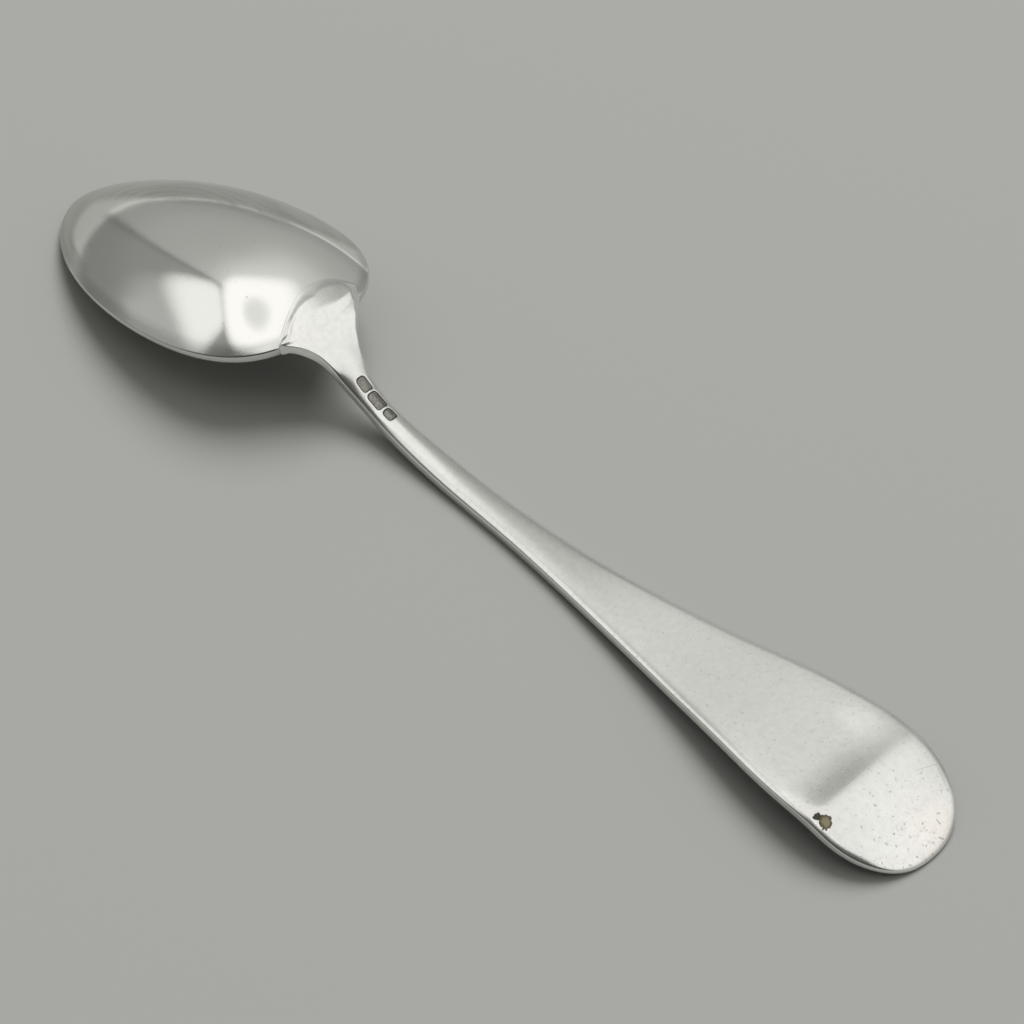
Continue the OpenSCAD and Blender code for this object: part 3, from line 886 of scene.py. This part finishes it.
def longScratches(tree, place, upward, ends):
    finish = handleSilver
    width, core = finish["scratchWidth"], finish["scratchCore"]
    lines = [scratchLine(tree, place, start, end, width, core) for start, end in ends]
    return product(tree, largest(tree, *lines), figure(tree, "GREATER_THAN", upward, finish["scratchUp"]))


def dimpleTone(tree, place):
    # darkened dimples with a paler worn floor: where they are, and their colour
    finish = handleSilver
    dimple = addNode(tree, "ShaderNodeAttribute", attribute_name="dimple").outputs["Fac"]
    wear = cloud(tree, place, *finish["floorWear"])
    wear = between(tree, wear, *finish["floorWearFrom"], *finish["floorWearShares"])
    wear = product(tree, wear, between(tree, dimple, *finish["dimpleFloor"]))
    colour = tinted(tree, wear, silver["oxide"], silver["oxideFloor"])
    return between(tree, dimple, *finish["dimpleDark"]), colour


def chipTone(tree, place):
    # the chip by the bend shows brown under the silver: where it is bare, and its colour
    finish = handleSilver
    chipX, chipY = spoonLength - handle["chip"][0] + tipX, handle["chip"][1]
    ragged = figure(tree, "SUBTRACT", cloud(tree, place, *finish["ragged"]), 0.5)
    ragged = product(tree, ragged, finish["raggedShare"])

    def spot(offset, reach):
        middle = (chipX + offset[0], chipY + offset[1], finish["chipHeight"])
        return figure(tree, "ADD", nearness(tree, place, middle, reach), ragged)

    oliveSpot, umberSpot = spot(*finish["chipOlive"]), spot(*finish["chipUmber"])
    olive = between(tree, oliveSpot, *finish["oliveFrom"])
    umber = between(tree, umberSpot, *finish["umberFrom"])
    inside = between(tree, oliveSpot, *finish["insideFrom"])
    inside = product(tree, inside, figure(tree, "SUBTRACT", 1.0, umber))
    return largest(tree, olive, umber), tinted(tree, inside, silver["chipDark"], silver["chip"])


def handleFinish():
    finish = handleSilver
    material, tree, shader = startMaterial("satin_silver")
    place = addNode(tree, "ShaderNodeTexCoord").outputs["Object"]
    facing = addNode(tree, "ShaderNodeNewGeometry").outputs["Normal"]
    inset = addNode(tree, "ShaderNodeAttribute", attribute_name="inset").outputs["Fac"]
    along, across, upward = part(tree, place, "X"), part(tree, place, "Y"), part(tree, facing, "Z")
    grain, smudge, mottle = (cloud(tree, place, *finish[name]) for name in ("grain", "smudge", "mottle"))
    brushed = strands(tree, place, **finish["brushing"])

    # the regions of the finish
    drop = faded(tree, along, *inMetres(finish["dropTo"]))
    blade = between(tree, along, *inMetres(finish["bladeFrom"]))
    bend = bendBand(tree, along, across)
    end = nearness(tree, place, *finish["endSpot"])
    handled = largest(tree, end, nearness(tree, place, *finish["bendSpot"]))
    steep = faded(tree, figure(tree, "ABSOLUTE", upward), *finish["edgeSteep"])
    edge = largest(tree, faded(tree, inset, *finish["edgePolish"]), steep)

    # scratches and pits
    pale = longScratches(tree, place, upward, finish["paleScratches"])
    dark = longScratches(tree, place, upward, finish["darkScratches"])
    scratches = largest(tree, product(tree, hairScratches(tree, place), handled), dark)
    onEnd, onBlade = finish["pitShares"]
    pitted = figure(tree, "ADD", product(tree, end, onEnd), product(tree, blade, onBlade))
    pits = between(tree, cloud(tree, place, *finish["pits"]), *finish["pitFrom"])
    pits = product(tree, pits, pitted)

    stemRough = between(tree, smudge, *finish["smudgeFrom"], *finish["stemRoughness"])
    bladeRough = between(tree, smudge, *finish["smudgeFrom"], *finish["bladeRoughness"])
    bladeRough = figure(tree, "SUBTRACT", bladeRough, product(tree, end, finish["endPolish"]))
    rough = blended(tree, blade, stemRough, bladeRough)
    rough = blended(tree, drop, rough, finish["dropRoughness"])
    rough = figure(tree, "SUBTRACT", rough, product(tree, bend, finish["bendPolish"]))
    rough = blended(tree, edge, rough, finish["edgeRoughness"])

    colour = tinted(tree, end, silver["satin"], silver["polished"])
    layers = [
        (between(tree, mottle, *finish["mottleFrom"], 0.0, finish["mottleDull"]), "dullAndShade"),
        # painted shade across the bend, darkened towards the dull grey
        (product(tree, bend, finish["bendShade"]), "dullAndShade"),
        (product(tree, nearness(tree, place, *finish["pinkSpot"]), finish["pinkShare"]), "pink"),
        (pits, "speck"),
        (product(tree, scratches, finish["scratchDark"]), "speck"),
    ]
    for share, tint in layers:
        colour = tinted(tree, share, colour, silver[tint])
    dimpled, oxide = dimpleTone(tree, place)
    colour = tinted(tree, dimpled, colour, oxide)
    bare, brown = chipTone(tree, place)
    colour = tinted(tree, bare, colour, brown)

    # where fine scratches scatter the light, the silver reflects less
    haze = figure(tree, "SUBTRACT", blade, largest(tree, edge, bend))
    haze = product(tree, haze, finish["bladeHaze"])
    rubbed = between(tree, smudge, *finish["rubbedFrom"])
    rubbed = product(tree, nearness(tree, place, *finish["rubbedSpot"]), rubbed)
    haze = figure(tree, "ADD", haze, product(tree, rubbed, finish["rubbedHaze"]))
    haze = largest(tree, haze, product(tree, pale, finish["scratchPale"]), 0.0, bare)
    metal = figure(tree, "SUBTRACT", 1.0, haze)
    feed(tree, shader, {"Metallic": metal, "Base Color": colour, "Roughness": rough})
    marks = figure(tree, "SUBTRACT", 1.0, largest(tree, scratches, pits))
    heights = (grain, brushed, product(tree, mottle, blade), smudge, marks)
    grained(tree, shader, heights, finish["reliefs"])
    return material


def keepShare(piece, name, kind, values):
    layer = piece.data.attributes.new(name, kind, "POINT")
    field = "vector" if kind == "FLOAT_VECTOR" else "value"
    layer.data.foreach_set(field, np.asarray(values, float).ravel())


def pointsOf(piece):
    flat = np.empty(len(piece.data.vertices) * 3)
    piece.data.vertices.foreach_get("co", flat)
    x, y, z = (flat.reshape(-1, 3) / mm).T
    return x - tipX, y, z


# the bowl's finish follows the way round the rim and the depth in from it, in mm
bowlPiece = makeBowl()
bowlS, bowlY = pointsOf(bowlPiece)[:2]
gauge = eggGauge(bowlS, bowlY)
aroundRim = np.arctan2(bowlY, eggMid - bowlS) * bowlWidth
rimDepth = (1 - gauge) * np.hypot(bowlY, bowlS - eggMid) / np.maximum(gauge, bowl["leastGauge"])
keepShare(bowlPiece, "rimPlace", "FLOAT_VECTOR", np.stack([aroundRim, rimDepth, 0 * gauge], axis=1))
bowlPiece.data.materials.append(bowlFinish())
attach(bowlPiece, "root")
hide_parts("bowl")
print("bowl made:", len(bowlPiece.data.polygons), "faces")

handlePiece = makeHandle()
handleS, handleY, handleZ = pointsOf(handlePiece)
upper = handleZ > underLine(handleS) + handle["stemSide"] / 2
keepShare(handlePiece, "dimple", "FLOAT", dimpleShare(handleS, handleY) * upper)
keepShare(handlePiece, "inset", "FLOAT", edgeInset(handleS, handleY))
handlePiece.data.materials.append(handleFinish())
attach(handlePiece, "root")
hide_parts("handle")
print("handle made:", len(handlePiece.data.polygons), "faces")

# studio: a pale floor in a plain grey room with soft panels of light
studio = {
    "floorSize": 6.0,  # metres
    "floorColour": (0.236, 0.238, 0.226, 1),
    "floorRoughness": 0.6,
    # round the room from the far side over the left, the near side and the right: place, brightness
    "walls": [
        (0.0, 0.4), (0.089, 0.4), (0.096, 0.2), (0.103, 0.28), (0.17, 0.28), (0.22, 0.31), (0.27, 0.22),
        (0.31, 0.14), (0.4, 0.08), (0.6, 0.08), (0.68, 0.25), (0.75, 0.4), (1.0, 0.4),
    ],
    "cornerLean": 0.08,
    # from the floor's edge to the zenith: place, share of the brightness
    "heights": [
        (0.0, 1.6), (0.03, 1.5), (0.06, 0.75), (0.2, 0.8), (0.34, 0.9), (0.5, 0.95), (0.6, 1.0),
        (0.7, 1.12), (0.79, 1.35), (0.87, 1.6), (1.0, 1.8),
    ],
    "heightsLimit": 2.0,  # above all of these shares
    "warmth": (0.985, 1.0, 0.95),
    "panelTint": (1.0, 1.0, 0.97),
    "panelLeast": 0.05,  # keeps the slopes finite beside a panel's plane
    "panelFrom": 0.1,  # a panel shows only where its plane lies ahead by this much
}
view = {
    "place": (161.4, -174.3, 264.2),  # mm
    "aim": (4.55, 2.0, 0.0),
    "roll": 4.233,  # degrees
    "lens": 108.63,
    "sensor": 36,
    "clip": (0.01, 20),  # metres
}
# each panel hangs on the ceiling or on a side wall: its middle and its half sizes as slopes seen from the
# spoon, how softly it fades out, how square it is, and its glow
panels = [
    ("left", (0.05, 0.36), (0.28, 0.1), (0.0, 2.5), 4, 0.42),
    ("left", (0.0, 0.56), (0.42, 0.3), (0.0, 2.0), 2, 0.42),
    ("left", (-0.05, 1.21), (0.5, 0.56), (0.1, 2.2), 4, 0.9),
    ("right", (0.25, 1.3), (0.9, 1.2), (0.1, 2.0), 4, 0.97),
    ("ceiling", (-0.03, 0.03), (0.48, 0.47), (0.3, 2.0), 4, 1.04),
    ("ceiling", (0.02, 0.04), (0.26, 0.26), (0.0, 1.0), 2, 0.76),
]
keyLight = {"azimuth": 165, "elevation": 55, "distance": 3.0, "size": 2.2, "power": 129.0}


def makeFloor():
    half = studio["floorSize"] / 2
    corners = [(-half, -half, 0), (half, -half, 0), (half, half, 0), (-half, half, 0)]
    mesh = bpy.data.meshes.new("floor")
    mesh.from_pydata(corners, [], [(0, 1, 2, 3)])
    floor = addObject("floor", mesh)
    material, tree, shader = startMaterial("pale_floor")
    feed(tree, shader, {"Base Color": studio["floorColour"], "Roughness": studio["floorRoughness"]})
    mesh.materials.append(material)


def floorAxes():
    # level directions towards the camera and to its right
    look = (Vector(view["aim"]) - Vector(view["place"])).normalized()
    towards = Vector((-look.x, -look.y, 0)).normalized()
    return towards, Vector((0, 0, 1)).cross(towards)


def ramped(tree, fac, stops, tint=(1, 1, 1)):
    node = addNode(tree, "ShaderNodeValToRGB", {"Fac": fac})
    elements = node.color_ramp.elements
    while len(elements) < len(stops):
        elements.new(1.0)
    for element, (spot, level) in zip(elements, stops):
        element.position = spot
        element.color = (level * tint[0], level * tint[1], level * tint[2], 1)
    return node.outputs["Color"]


def panelShare(tree, plane, middles, halves, soft, power):
    # 1 on the panel, fading out round its rounded square on the plane
    ahead, *ways = plane
    least = figure(tree, "MAXIMUM", ahead, studio["panelLeast"])
    raised = []
    for way, middle, half in zip(ways, middles, halves):
        slope = figure(tree, "DIVIDE", way, least)
        share = figure(tree, "DIVIDE", figure(tree, "SUBTRACT", slope, middle), half)
        raised.append(figure(tree, "POWER", figure(tree, "ABSOLUTE", share), power))
    lit = faded(tree, figure(tree, "ADD", *raised), *soft)
    return product(tree, lit, figure(tree, "GREATER_THAN", ahead, studio["panelFrom"]))


def makeSurround():
    towards, right = floorAxes()
    world = bpy.data.worlds.new("surround")
    world.use_nodes = True
    tree = world.node_tree
    place = addNode(tree, "ShaderNodeTexCoord").outputs["Generated"]
    up = part(tree, place, "Z")
    side = vectorFigure(tree, "DOT_PRODUCT", place, right)
    front = vectorFigure(tree, "DOT_PRODUCT", place, towards)
    left = product(tree, side, -1.0)

    turn = figure(tree, "DIVIDE", figure(tree, "ARCTAN2", side, front), fullTurn)
    turn = figure(tree, "ADD", turn, 0.5)
    turn = figure(tree, "SUBTRACT", turn, product(tree, up, studio["cornerLean"]))
    walls = ramped(tree, turn, studio["walls"], studio["warmth"])
    limit = studio["heightsLimit"]
    heights = ramped(tree, up, [(spot, level / limit) for spot, level in studio["heights"]])
    room = scaled(tree, vectorFigure(tree, "MULTIPLY", walls, heights), limit)

    # each plane: the way to it, and the two ways across it
    planes = {"ceiling": (up, side, front), "left": (left, front, up), "right": (side, front, up)}
    for wall, middles, halves, soft, power, glow in panels:
        lit = panelShare(tree, planes[wall], middles, halves, soft, power)
        room = tinted(tree, lit, room, (*(glow * tint for tint in studio["panelTint"]), 1))
    tree.links.new(room, tree.nodes["Background"].inputs["Color"])
    bpy.context.scene.world = world


def makeKey():
    # soft light from beyond the spoon, kept out of the silver's reflections
    towards, right = floorAxes()
    a, e = math.radians(keyLight["azimuth"]), math.radians(keyLight["elevation"])
    way = (towards * math.cos(a) + right * math.sin(a)) * math.cos(e) + Vector((0, 0, math.sin(e)))
    light = bpy.data.lights.new("key", "AREA")
    light.shape = "DISK"
    light.size = keyLight["size"]
    light.energy = keyLight["power"]
    lamp = addObject("key", light)
    lamp.location = way * keyLight["distance"]
    lamp.rotation_mode = "QUATERNION"
    lamp.rotation_quaternion = (-way).to_track_quat("-Z", "Y")
    lamp.visible_glossy = False


def makeCamera():
    data = bpy.data.cameras.new("camera")
    data.lens = view["lens"]
    data.sensor_width = view["sensor"]
    data.clip_start, data.clip_end = view["clip"]
    camera = addObject("camera", data)
    place, aim = Vector(view["place"]) * mm, Vector(view["aim"]) * mm
    camera.location = place
    camera.rotation_mode = "QUATERNION"
    level = (aim - place).to_track_quat("-Z", "Y")
    camera.rotation_quaternion = level @ Quaternion((0, 0, 1), math.radians(view["roll"]))
    bpy.context.scene.camera = camera


makeFloor()
makeSurround()
makeKey()
makeCamera()
bpy.context.scene.view_settings.view_transform = "Standard"
print("studio made:", len(panels), "panels and a key light")
